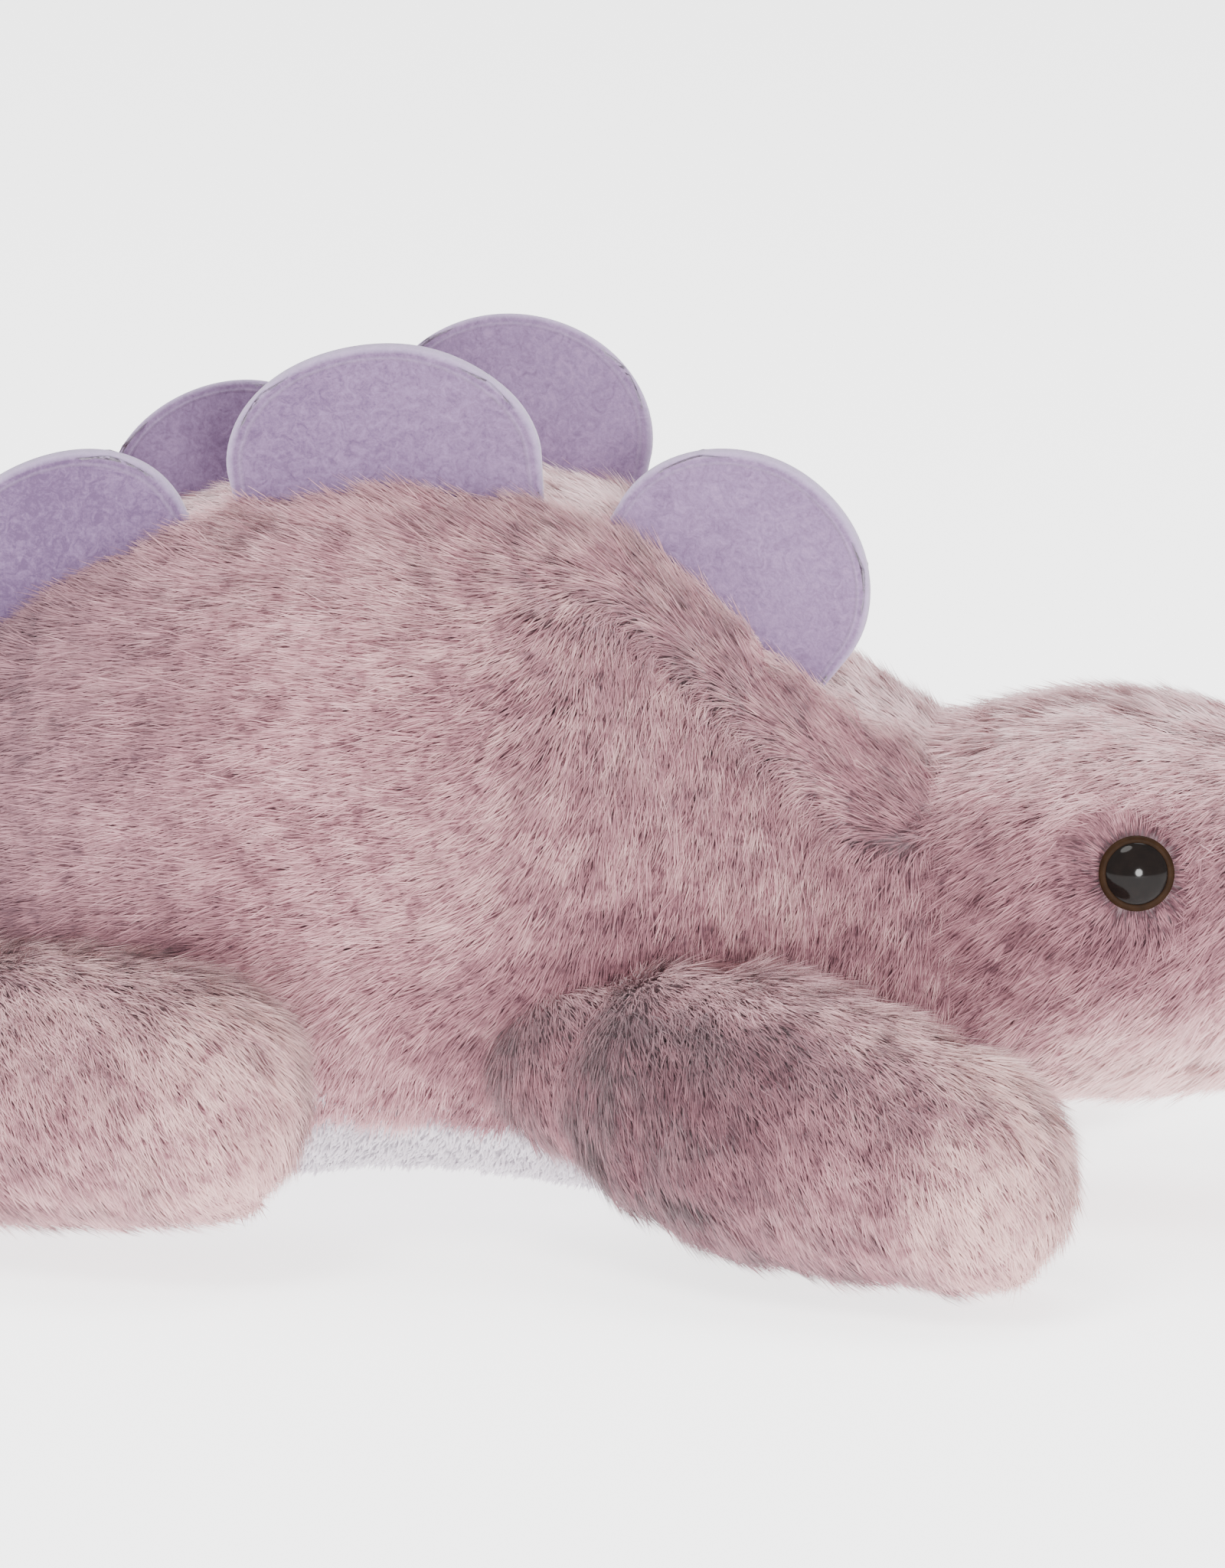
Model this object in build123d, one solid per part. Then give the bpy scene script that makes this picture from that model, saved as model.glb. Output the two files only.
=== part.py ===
"""A stuffed plated dinosaur lying on its belly, with its head towards +X.

Each fur part is a hollow skin of sewn panels round a core of stuffing. The head, tail and legs
turn in round sockets at their sewn roots, and the felt back plates flex along their seams.
Millimetres, +Z up. The origin is on the surface it lies on, under the middle of its box.
"""

from build123d import *
import os
from math import atan2, cos, radians, sin, sqrt

# Cloth and clearances
pile_skin = 3.0          # fur fabric with its pile pressed flat
core_gap = 0.3           # between a skin and the stuffing inside it
socket_gap = 0.5         # between a turning root and the socket round it
far = 400.0              # larger than the toy, for cutting blocks

# Stations along X: (x, lowest z, highest z, half width)
torso_stations = [
    (-80, 1.0, 64.0, 28.0),
    (-66, -4.0, 74.0, 35.0),
    (-48, -5.0, 86.0, 41.0),
    (-26, -2.0, 98.0, 44.5),
    (0, 3.0, 107.0, 46.5),
    (24, 4.0, 109.5, 47.0),
    (46, 0.5, 104.5, 44.0),
    (62, -4.0, 94.5, 38.0),
    (75, -3.0, 85.0, 33.0),
    (84, 5.0, 78.5, 29.5),
]
head_stations = [
    (100, 19.0, 76.0, 27.5),
    (112, 17.5, 78.5, 31.0),
    (128, 18.0, 78.5, 31.5),
    (142, 20.5, 75.5, 28.5),
    (152, 25.5, 67.0, 23.0),
    (159, 32.0, 58.0, 15.0),
    (162.5, 39.0, 50.5, 6.5),
]
tail_stations = [
    (-96, 1.0, 53.0, 24.0),
    (-108, -1.0, 44.0, 20.0),
    (-120, -1.0, 36.0, 16.5),
]
tail_tip_stations = [
    (-132, -1.0, 29.5, 14.0),
    (-142, -1.0, 24.5, 11.0),
    (-153, -0.5, 18.5, 7.5),
    (-162.5, 3.0, 11.0, 3.0),
]

# Turning roots: centre and radius of the ball that each part turns on
neck_centre, neck_ball = (92.0, 0.0, 46.0), 25.5
neck_core_radius = 12.0
throat_start, throat_end, throat_radius = 90.0, 106.0, 21.0
tail_centre, tail_ball = (-88.0, 0.0, 29.0), 22.5
tail_tip_centre, tail_tip_ball = (-126.0, 0.0, 16.0), 13.0

# Legs on the right side, mirrored to the left: root, paw centre and their radii
leg_shapes = {
    "front": {"root": (46.0, -40.0, 29.0), "paw": (99.5, -63.0, 19.5), "root_r": 13.0, "paw_r": 18.0},
    "hind": {"root": (-55.0, -40.0, 27.0), "paw": (-15.0, -53.0, 25.5), "root_r": 14.0, "paw_r": 19.0},
}
leg_pocket_gap = 3.0     # round a leg's root, where it swings in the torso's side
leg_side_gap = 0.8       # between a leg and the torso's side that it lies against

# Panels
spine_strip_width = 24.0
belly_panel_width = 52.0
belly_panel_top = 26.0
head_strip_width = 18.0

# Felt back plates: (name, x, length, height, side), side -1 on the right and 1 on the left
plate_thickness = 2.4    # two layers of felt
plate_row_y = 12.5
plate_lean = 15.0
plate_clearance = 1.1
plate_rise, plate_arch = 0.28, 0.72   # a plate's round top starts here and is this tall, in heights
plate_foot_share = 0.97  # width of a plate's straight foot against its whole length
torso_plates = [
    ("plate_right_1", 61.5, 40.0, 25.5, -1),
    ("plate_right_2", 13.4, 47.0, 25.5, -1),
    ("plate_right_3", -32.5, 40.0, 23.0, -1),
    ("plate_right_4", -66.0, 27.0, 18.0, -1),
    ("plate_left_1", 28.0, 42.0, 25.0, 1),
    ("plate_left_2", -13.0, 37.0, 20.0, 1),
    ("plate_left_3", -47.0, 34.0, 21.0, 1),
]
tail_plates = [
    ("plate_left_4", -104.0, 21.0, 14.0, 1),
    ("plate_right_5", -111.0, 16.0, 11.0, -1),
]

# Felt tail spikes: (name, x, side)
spike_length, spike_radius, spike_lean = 17.0, 3.6, 48.0
spikes = [
    ("spike_right_1", -139.0, -1),
    ("spike_right_2", -151.0, -1),
    ("spike_left_1", -139.0, 1),
    ("spike_left_2", -151.0, 1),
]

# Safety eyes
eye_x, eye_z, eye_radius, eye_height = 125.8, 57.2, 5.4, 4.0
eye_lean = 0.12          # how far an eye looks forward and up
eye_seat = 0.4           # depth of an eye's rim in the fur fabric
shank_radius, shank_length, washer_radius, washer_height = 1.8, 10.0, 6.0, 1.6
washer_depth = 2.2       # from the inside of the skin to a washer's top
shank_clearance, washer_clearance, washer_space = 0.2, 0.4, 9.0

# Weighting pellets
pouch_centre, pouch_radius, pouch_height, pouch_cloth = (10.0, 0.0, 22.0), 24.0, 18.0, 0.8
paw_pellet_radius = 9.0

# Stitched face and sewn-in label
stitch_clearance, thread_thickness, thread_width = 0.05, 0.8, 1.4
nostril_place, nostril_radius = (157.0, 7.0, 59.0), 2.2
snout_end, mouth_height, mouth_width, mouth_tilt = 162.5, 36.5, 20.0, 14.0
label_size = (0.6, 15.0, 12.0)
label_place = (-75.0, 38.2, 22.0)

os.makedirs("parts", exist_ok=True)


def save(shape, node):
    export_step(shape, f"parts/{node}.step")


def block(x=(-far, far), y=(-far, far), z=(-far, far)):
    size = (x[1] - x[0], y[1] - y[0], z[1] - z[0])
    centre = ((x[0] + x[1]) / 2, (y[0] + y[1]) / 2, (z[0] + z[1]) / 2)
    return Pos(*centre) * Box(*size)


def ball(centre, radius, seam=0):
    """A ball whose seam line faces the given direction round Z, away from where it cuts."""
    return Pos(*centre) * Rot(0, 0, seam) * Sphere(radius)


def hull_form(stations, inset=0.0):
    """A smooth body through oval sections, all of them smaller by the inset, on flat ground."""
    sections = []
    for x, low, high, half_width in stations:
        plane = Plane(origin=(x, 0, (low + high) / 2), x_dir=(0, 1, 0), z_dir=(1, 0, 0))
        sections.append(plane * Ellipse(half_width - inset, (high - low) / 2 - inset))
    first, last = sorted((stations[0][0], stations[-1][0]))
    form = loft(sections)
    inner = max(inset, 0.0)
    return form & block(x=(first + inner, last - inner), z=(inner, far))


def at_x(stations, x, column):
    """One column of the stations at x, on a curve through the nearest stations."""
    rows = sorted(stations)
    near = sorted(rows, key=lambda row: abs(row[0] - x))[:3]
    total = 0.0
    for row in near:
        share = 1.0
        for other in near:
            if other is not row:
                share *= (x - other[0]) / (row[0] - other[0])
        total += share * row[column]
    return total


def side_panels(skin, top_strip=None, bottom_strip=None):
    """Cuts a skin at the middle into its right and left panels, and takes the strips off them."""
    strips = [strip for strip in (top_strip, bottom_strip) if strip is not None]
    for strip in strips:
        skin = skin - strip
    return skin - block(y=(0, far)), skin - block(y=(-far, 0))


def mirrored(shape, side):
    return shape if side < 0 else mirror(shape, about=Plane.XZ)


def capsule(root, paw, root_radius, paw_radius, inset=0.0):
    """A round limb from its root ball to its paw, as one outline turned about its own axis."""
    axis = Vector(*paw) - Vector(*root)
    length = axis.length
    r0, r1 = root_radius - inset, paw_radius - inset
    slope = (r1 - r0) / length
    side = sqrt(1 - slope * slope)
    start, end = (-r0 * slope, r0 * side), (length - r1 * slope, r1 * side)
    mid0, mid1 = radians(135), radians(45)
    outline = [
        ThreePointArc((-r0, 0), (r0 * cos(mid0), r0 * sin(mid0)), start),
        Line(start, end),
        ThreePointArc(end, (length + r1 * cos(mid1), r1 * sin(mid1)), (length + r1, 0)),
        Line((length + r1, 0), (-r0, 0)),
    ]
    limb = revolve(make_face(outline), Axis.X)
    outward = Vector(axis.Y, -axis.X, 0)
    frame = Plane(origin=root, x_dir=axis, z_dir=axis.cross(outward))
    return (frame * limb) & block(z=(max(inset, 0), far))


def plate(stations, x, length, height, side, keep_clear):
    """Two felt layers, D-shaped, standing on the back along its slope, cut to the back's curve."""
    step = 2.0
    rise = at_x(stations, x + step, 2) - at_x(stations, x - step, 2)
    slope = atan2(rise, 2 * step)
    top, low = at_x(stations, x, 2), at_x(stations, x, 1)
    half_width, half_height = at_x(stations, x, 3), (top - low) / 2
    z = top - half_height * (1 - sqrt(1 - (plate_row_y / half_width) ** 2))
    along = Vector(cos(slope), 0, sin(slope))
    lean = radians(plate_lean)
    up = Vector(-sin(slope) * cos(lean), side * sin(lean), cos(slope) * cos(lean))
    frame = Plane(origin=(x, side * plate_row_y, z), x_dir=along, z_dir=along.cross(up))
    outline = Pos(0, plate_rise * height) * Ellipse(length / 2, plate_arch * height)
    outline = outline + Rectangle(plate_foot_share * length, 2 * plate_rise * height)
    layers = []
    for offset in (-plate_thickness / 2, 0.0):
        layer = frame * (Pos(0, 0, offset) * extrude(outline, plate_thickness / 2)) - keep_clear
        layers.append(max(layer.solids(), key=lambda solid: solid.volume))
    return Compound(layers), frame


# --- legs -------------------------------------------------------------------------------------

def make_legs():
    pockets = []
    for name, leg in leg_shapes.items():
        root, paw = leg["root"], leg["paw"]
        outer = capsule(root, paw, leg["root_r"], leg["paw_r"])
        hollow = capsule(root, paw, leg["root_r"], leg["paw_r"], pile_skin)
        core = capsule(root, paw, leg["root_r"], leg["paw_r"], pile_skin + core_gap)
        skin = outer - hollow
        pellet_space = ball(paw, paw_pellet_radius + core_gap)
        stuffing = core - pellet_space
        pellets = ball(paw, paw_pellet_radius)
        along = Vector(paw[0] - root[0], paw[1] - root[1], 0)
        upright = Plane(origin=root, x_dir=along, z_dir=along.cross(Vector(0, 0, 1)))
        half = upright * (Pos(0, 0, far / 2) * Box(2 * far, 2 * far, far))
        for side, word in ((-1, "right"), (1, "left")):
            save(mirrored(skin & half, side), f"leg_{name}_{word}_outer_panel")
            save(mirrored(skin - half, side), f"leg_{name}_{word}_inner_panel")
            save(mirrored(stuffing, side), f"leg_{name}_{word}_stuffing")
            save(mirrored(pellets, side), f"leg_{name}_{word}_pellets")
        pocket = ball(root, leg["root_r"] + leg_pocket_gap, -90)
        groove = capsule(root, paw, leg["root_r"], leg["paw_r"], -leg_side_gap)
        for cut in (pocket, groove):
            pockets += [cut, mirrored(cut, 1)]
    return pockets


# --- torso ------------------------------------------------------------------------------------

def make_torso(pockets):
    outer = hull_form(torso_stations)
    hollow = hull_form(torso_stations, pile_skin)
    core = hull_form(torso_stations, pile_skin + core_gap)
    sockets = pockets + [ball(neck_centre, neck_ball + socket_gap), ball(tail_centre, tail_ball + socket_gap, 180)]
    skin = outer - hollow
    for socket in sockets:
        skin = skin - socket
        core = core - socket
    spine = block(y=(-spine_strip_width / 2, spine_strip_width / 2), z=(belly_panel_top, far))
    belly = block(y=(-belly_panel_width / 2, belly_panel_width / 2), z=(-far, belly_panel_top))
    right, left = side_panels(skin, spine, belly)
    save(right, "torso_panel_right")
    save(left, "torso_panel_left")
    save(skin & spine, "spine_strip")
    save(skin & belly, "belly_panel")

    inner_radius = pouch_radius - pouch_cloth
    pouch_body = Cylinder(pouch_radius, pouch_height)
    pouch_body = fillet(pouch_body.edges(), pouch_height * 0.4)
    fill_body = Cylinder(inner_radius, pouch_height - 2 * pouch_cloth)
    fill_body = fillet(fill_body.edges(), pouch_height * 0.35)
    shrink = 1 - core_gap / pouch_radius
    save(core - Pos(*pouch_centre) * scale(pouch_body, 1 + core_gap / pouch_height), "torso_stuffing")
    save(Pos(*pouch_centre) * (pouch_body - fill_body), "pellet_pouch")
    save(Pos(*pouch_centre) * scale(fill_body, shrink), "torso_pellets")
    save(Pos(*label_place) * Box(*label_size), "care_label")
    save(ball(neck_centre, neck_core_radius), "neck_stuffing")


# --- head -------------------------------------------------------------------------------------

def eye_frame(side):
    half_width = at_x(head_stations, eye_x, 3)
    low, high = at_x(head_stations, eye_x, 1), at_x(head_stations, eye_x, 2)
    across = (eye_z - (low + high) / 2) / ((high - low) / 2)
    surface = half_width * sqrt(1 - across * across)
    return Plane(origin=(eye_x, side * surface, eye_z), x_dir=(1, 0, 0), z_dir=(eye_lean, side, eye_lean))


def make_head():
    outer = hull_form(head_stations) + ball(neck_centre, neck_ball)
    hollow = hull_form(head_stations, pile_skin) + ball(neck_centre, neck_ball - pile_skin)
    core = hull_form(head_stations, pile_skin + core_gap)
    core = core + ball(neck_centre, neck_ball - pile_skin - core_gap)
    throat_middle = ((throat_start + throat_end) / 2, 0, neck_centre[2])
    throat = Pos(*throat_middle) * Rot(0, 90, 0) * Cylinder(throat_radius, throat_end - throat_start)
    skin = outer - hollow - throat
    core = core + throat.intersect(block(x=(throat_start, throat_end - 0.5)))
    core = core - ball(neck_centre, neck_core_radius + core_gap)

    dome_ball = (eye_radius**2 + eye_height**2) / (2 * eye_height)
    for side, word in ((-1, "right"), (1, "left")):
        frame = eye_frame(side)
        lens = Pos(0, 0, eye_height - dome_ball) * Sphere(dome_ball)
        lens = (lens & block(z=(0, far))) + Pos(0, 0, -eye_seat / 2) * Cylinder(eye_radius, eye_seat)
        shank = Pos(0, 0, -shank_length / 2) * Cylinder(shank_radius, shank_length)
        washer_z = -pile_skin - washer_depth - washer_height / 2
        bore = Cylinder(shank_radius + shank_clearance / 2, 2 * washer_height)
        washer = Pos(0, 0, washer_z) * (Cylinder(washer_radius, washer_height) - bore)
        seat_space = Pos(0, 0, far / 2 - eye_seat) * Cylinder(eye_radius + shank_clearance, far)
        hole = Pos(0, 0, -shank_length / 2) * Cylinder(shank_radius + shank_clearance, 2 * shank_length)
        inside = Pos(0, 0, washer_z - washer_height / 2 + 0.5) * Cylinder(washer_radius + washer_clearance, washer_space)
        save(frame * (lens + shank), f"eye_{word}")
        save(frame * washer, f"eye_washer_{word}")
        skin = skin - frame * (hole + seat_space)
        core = core - frame * inside

    top = block(y=(-head_strip_width / 2, head_strip_width / 2), z=(neck_centre[2], far))
    right, left = side_panels(skin, top)
    save(right, "head_panel_right")
    save(left, "head_panel_left")
    save(skin & top, "head_strip")
    save(core, "head_stuffing")

    snout = hull_form(head_stations, -stitch_clearance)
    nostrils = [Pos(*nostril_place[:1], side * nostril_place[1], nostril_place[2]) * Sphere(nostril_radius) - snout
                for side in (-1, 1)]
    save(Compound(nostrils), "nostril_stitches")
    thread = hull_form(head_stations, -stitch_clearance - thread_thickness) - snout
    slit = Pos(snout_end, 0, mouth_height) * Rot(0, mouth_tilt, 0) * Box(60, mouth_width, thread_width)
    save(thread & slit, "mouth_stitch")


# --- tail -------------------------------------------------------------------------------------

def make_tail():
    base = hull_form(tail_stations) + ball(tail_centre, tail_ball)
    base = base & block(z=(0, far))
    base_hollow = hull_form(tail_stations, pile_skin) + (ball(tail_centre, tail_ball - pile_skin) & block(z=(pile_skin, far)))
    gap = pile_skin + core_gap
    base_core = hull_form(tail_stations, gap) + (ball(tail_centre, tail_ball - gap) & block(z=(gap, far)))
    tip_socket = ball(tail_tip_centre, tail_tip_ball + socket_gap, 180)
    skin = base - base_hollow - tip_socket
    right, left = side_panels(skin)
    save(right, "tail_panel_right")
    save(left, "tail_panel_left")
    save(base_core - tip_socket, "tail_stuffing")

    tip = (hull_form(tail_tip_stations) + ball(tail_tip_centre, tail_tip_ball)) & block(z=(0, far))
    tip_hollow = hull_form(tail_tip_stations[:3], pile_skin) + ball(tail_tip_centre, tail_tip_ball - pile_skin)
    tip_hollow = tip_hollow & block(z=(pile_skin, far))
    tip_core = hull_form(tail_tip_stations[:3], gap) + ball(tail_tip_centre, tail_tip_ball - gap)
    right, left = side_panels(tip - tip_hollow)
    save(right, "tail_tip_panel_right")
    save(left, "tail_tip_panel_left")
    save(tip_core & block(z=(gap, far)), "tail_tip_stuffing")
    return hull_form(tail_tip_stations, -0.1)


def make_spikes(tail_tip):
    for name, x, side in spikes:
        low, high = at_x(tail_tip_stations, x, 1), at_x(tail_tip_stations, x, 2)
        middle = (low + high) / 2
        radius = (high - low) / 2
        lean = radians(spike_lean)
        up = Vector(-0.35, side * sin(lean), cos(lean))
        foot = Vector(x, 0, middle) + up.normalized() * (radius - 3)
        frame = Plane(origin=foot, x_dir=up.cross(Vector(0, 1, 0)), z_dir=up)
        cone = frame * (Pos(0, 0, spike_length / 2) * Cone(spike_radius, 0.6, spike_length))
        save(cone - tail_tip, name)


# --- plates -----------------------------------------------------------------------------------

def make_plates():
    for stations, plates in ((torso_stations, torso_plates), (tail_stations, tail_plates)):
        keep_clear = hull_form(stations, -plate_clearance)
        for name, x, length, height, side in plates:
            layers, frame = plate(stations, x, length, height, side, keep_clear)
            save(layers, name)
            hinge = [round(value, 2) for value in frame.origin]
            axis = [round(value, 4) for value in frame.x_dir]
            print(f"{name}: hinge at {hinge} along {axis}")


leg_pockets = make_legs()
make_torso(leg_pockets)
make_head()
make_spikes(make_tail())
make_plates()
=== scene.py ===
import math

import bmesh
import bpy
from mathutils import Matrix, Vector, noise


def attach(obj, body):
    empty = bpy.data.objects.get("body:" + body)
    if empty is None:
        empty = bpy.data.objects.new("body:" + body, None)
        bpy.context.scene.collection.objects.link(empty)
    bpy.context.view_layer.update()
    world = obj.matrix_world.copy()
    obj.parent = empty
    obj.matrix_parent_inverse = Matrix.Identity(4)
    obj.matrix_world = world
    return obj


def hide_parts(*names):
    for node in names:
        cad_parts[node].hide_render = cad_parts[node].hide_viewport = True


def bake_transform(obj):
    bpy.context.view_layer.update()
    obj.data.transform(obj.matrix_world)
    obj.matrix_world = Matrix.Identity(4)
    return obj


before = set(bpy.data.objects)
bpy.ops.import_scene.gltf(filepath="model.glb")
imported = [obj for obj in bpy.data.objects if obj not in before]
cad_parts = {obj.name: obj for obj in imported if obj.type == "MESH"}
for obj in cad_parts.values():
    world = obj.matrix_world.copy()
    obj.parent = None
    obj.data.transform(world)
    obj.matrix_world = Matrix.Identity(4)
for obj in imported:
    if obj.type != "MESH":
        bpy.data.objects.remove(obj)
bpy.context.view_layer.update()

mm = 0.001


# --- node helpers ---

class Wire:
    # one output of a node, with sums written as Python expressions
    def __init__(self, graph, socket):
        self.graph = graph
        self.socket = socket

    def out(self, name):
        return Wire(self.graph, self.socket.node.outputs[name])

    def math(self, operation, *others):
        values = dict(enumerate([self, *others]))
        return self.graph.make("ShaderNodeMath", {"operation": operation}, values)

    def clamp(self, low=0.0, high=1.0):
        return self.math("MAXIMUM", low).math("MINIMUM", high)

    def __add__(self, other):
        return self.math("ADD", other)

    def __radd__(self, other):
        return self.math("ADD", other)

    def __sub__(self, other):
        return self.math("SUBTRACT", other)

    def __rsub__(self, other):
        return (self * -1.0) + other

    def __mul__(self, other):
        return self.math("MULTIPLY", other)

    def __rmul__(self, other):
        return self.math("MULTIPLY", other)

    def __truediv__(self, other):
        return self.math("DIVIDE", other)


class Graph:
    def __init__(self, tree):
        self.tree = tree

    def make(self, kind, settings=None, inputs=None, out=0):
        node = self.tree.nodes.new(kind)
        for key, value in (settings or {}).items():
            setattr(node, key, value)
        for key, value in (inputs or {}).items():
            if isinstance(value, Wire):
                self.tree.links.new(value.socket, node.inputs[key])
            else:
                node.inputs[key].default_value = value
        return Wire(self, node.outputs[out]) if len(node.outputs) else node

    def attribute(self, name, out="Fac"):
        return self.make("ShaderNodeAttribute", {"attribute_name": name}, out=out)

    def objectPlace(self):
        return self.make("ShaderNodeTexCoord", out="Object")

    def noise(self, place, scale, detail=2.0, roughness=0.5, distortion=0.0):
        values = {"Vector": place, "Scale": scale, "Detail": detail, "Roughness": roughness, "Distortion": distortion}
        return self.make("ShaderNodeTexNoise", None, values)

    def mix(self, factor, first, second, blend="MIX"):
        settings = {"data_type": "RGBA", "blend_type": blend}
        node = self.make("ShaderNodeMix", settings, {0: factor, 6: first, 7: second}, out=2)
        return node


def newMaterial(name, **constants):
    material = bpy.data.materials.new(name)
    material.use_nodes = True
    shader = material.node_tree.nodes["Principled BSDF"]
    for key, value in constants.items():
        shader.inputs[key.replace("_", " ")].default_value = value
    return material, Graph(material.node_tree), shader


def feed(graph, shader, socket, wire):
    graph.tree.links.new(wire.socket, shader.inputs[socket])


def bumpFrom(graph, shader, height, strength, distance):
    values = {"Strength": strength, "Distance": distance, "Height": height}
    feed(graph, shader, "Normal", graph.make("ShaderNodeBump", None, values))


# --- camera, light and floor ---

view = {"azimuth": 6.0, "elevation": 11.0, "distance": 1.6, "target": (0.0453, 0.0, 0.0631), "height": 0.2355,
        "sensor": 36.0}


def addCamera():
    azimuth, elevation = math.radians(view["azimuth"]), math.radians(view["elevation"])
    away = Vector((math.sin(azimuth) * math.cos(elevation), -math.cos(azimuth) * math.cos(elevation),
                   math.sin(elevation)))
    data = bpy.data.cameras.new("camera")
    data.sensor_width = view["sensor"]
    data.lens = view["sensor"] * view["distance"] / view["height"]
    camera = bpy.data.objects.new("camera", data)
    camera.location = Vector(view["target"]) + away * view["distance"]
    camera.rotation_euler = (-away).to_track_quat("-Z", "Y").to_euler()
    bpy.context.collection.objects.link(camera)
    bpy.context.scene.camera = camera


def addLight(name, place, aim, size, power, colour=(1.0, 1.0, 1.0)):
    data = bpy.data.lights.new(name, "AREA")
    data.shape = "DISK"
    data.size = size
    data.energy = power
    data.color = colour
    lamp = bpy.data.objects.new(name, data)
    lamp.location = place
    lamp.rotation_euler = (Vector(aim) - Vector(place)).to_track_quat("-Z", "Y").to_euler()
    bpy.context.collection.objects.link(lamp)


def addStage():
    world = bpy.data.worlds.new("studio")
    world.use_nodes = True
    world.node_tree.nodes["Background"].inputs["Color"].default_value = (1.0, 1.0, 1.0, 1.0)
    world.node_tree.nodes["Background"].inputs["Strength"].default_value = 0.88
    bpy.context.scene.world = world
    middle = (0.02, 0.0, 0.05)
    addLight("keyLight", (-0.4, -0.6, 1.6), middle, 0.8, 19.0, (1.0, 0.99, 0.97))
    addLight("topLight", (0.3, 0.5, 1.6), middle, 1.0, 20.0)
    addLight("glintLight", (0.55, -1.84, 0.24), (0.1265, -0.03, 0.0570), 0.42, 32.0)
    form = bmesh.new()
    bmesh.ops.create_grid(form, x_segments=2, y_segments=2, size=6.0)
    mesh = bpy.data.meshes.new("floor")
    form.to_mesh(mesh)
    form.free()
    floor = bpy.data.objects.new("floor", mesh)
    bpy.context.collection.objects.link(floor)
    paper = newMaterial("palePaper", Base_Color=(0.93, 0.93, 0.94, 1.0), Roughness=0.9,
                        Emission_Color=(1.0, 1.0, 1.0, 1.0), Emission_Strength=2.4)[0]
    mesh.materials.append(paper)


# --- fur finish ---

furColours = {
    "root": (0.100, 0.030, 0.044, 1.0),
    "mid": (0.345, 0.148, 0.176, 1.0),
    "tip": (0.665, 0.375, 0.398, 1.0),
    "cream": (0.820, 0.545, 0.480, 1.0),
    "grey": (0.380, 0.262, 0.298, 1.0),
    "pale": (0.890, 0.665, 0.680, 1.0),
}


def furMaterial():
    material, graph, shader = newMaterial("mauveFur", Roughness=0.85, Sheen_Weight=0.25, Sheen_Roughness=0.6)
    place = graph.objectPlace()
    clumps = graph.noise(place, 210.0, 2.0) - 0.5
    patches = graph.noise(place, 45.0, 1.0) - 0.5
    along = graph.attribute("along")
    # tone also carries the painted shade and painted light set on the skins
    tone = graph.attribute("tone")
    warm = graph.attribute("warm")
    shade = graph.attribute("shade") - 0.5
    flecks = ((graph.noise(place, 560.0, 1.0) - 0.56) * 7.0).clamp()
    level = along * 0.62 + tone * 1.0 + shade * 0.32 + clumps * 0.8 + patches * 0.3 - flecks * 0.28 - 0.20
    pale = ((level - 0.92) * 1.6).clamp()
    low = (level * 2.0).clamp()
    high = (level * 2.0 - 1.0).clamp()
    body = graph.mix(high, graph.mix(low, furColours["root"], furColours["mid"]), furColours["tip"])
    body = graph.mix(pale, body, furColours["pale"])
    greyed = graph.mix((0.55 - warm).clamp() * 0.8, body, furColours["grey"])
    creamy = graph.mix(((warm - 0.6) * 2.2 * high).clamp(), greyed, furColours["cream"])
    feed(graph, shader, "Base Color", creamy)
    return material


def skinMaterial():
    material, graph, shader = newMaterial("mauveBacking", Roughness=0.95)
    place = graph.objectPlace()
    knit = graph.noise(place, 900.0, 3.0)
    feed(graph, shader, "Base Color", graph.mix(knit, (0.17, 0.10, 0.115, 1.0), (0.30, 0.20, 0.22, 1.0)))
    bumpFrom(graph, shader, knit, 0.6, 0.0006)
    return material


# --- forms ---

def smoothRow(stations, x):
    # a station's values at x, on smooth curves through the table
    rows = sorted(stations)
    xs = [row[0] for row in rows]
    x = min(max(x, xs[0]), xs[-1])
    index = max(i for i in range(len(xs) - 1) if xs[i] <= x)
    share = (x - xs[index]) / (xs[index + 1] - xs[index])
    values = []
    for column in (1, 2, 3):
        p0 = rows[max(index - 1, 0)][column]
        p1 = rows[index][column]
        p2 = rows[index + 1][column]
        p3 = rows[min(index + 2, len(rows) - 1)][column]
        a = 2 * p1
        b = p2 - p0
        c = 2 * p0 - 5 * p1 + 4 * p2 - p3
        d = 3 * p1 - p0 - 3 * p2 + p3
        values.append((a + b * share + c * share ** 2 + d * share ** 3) / 2)
    return values


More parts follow.
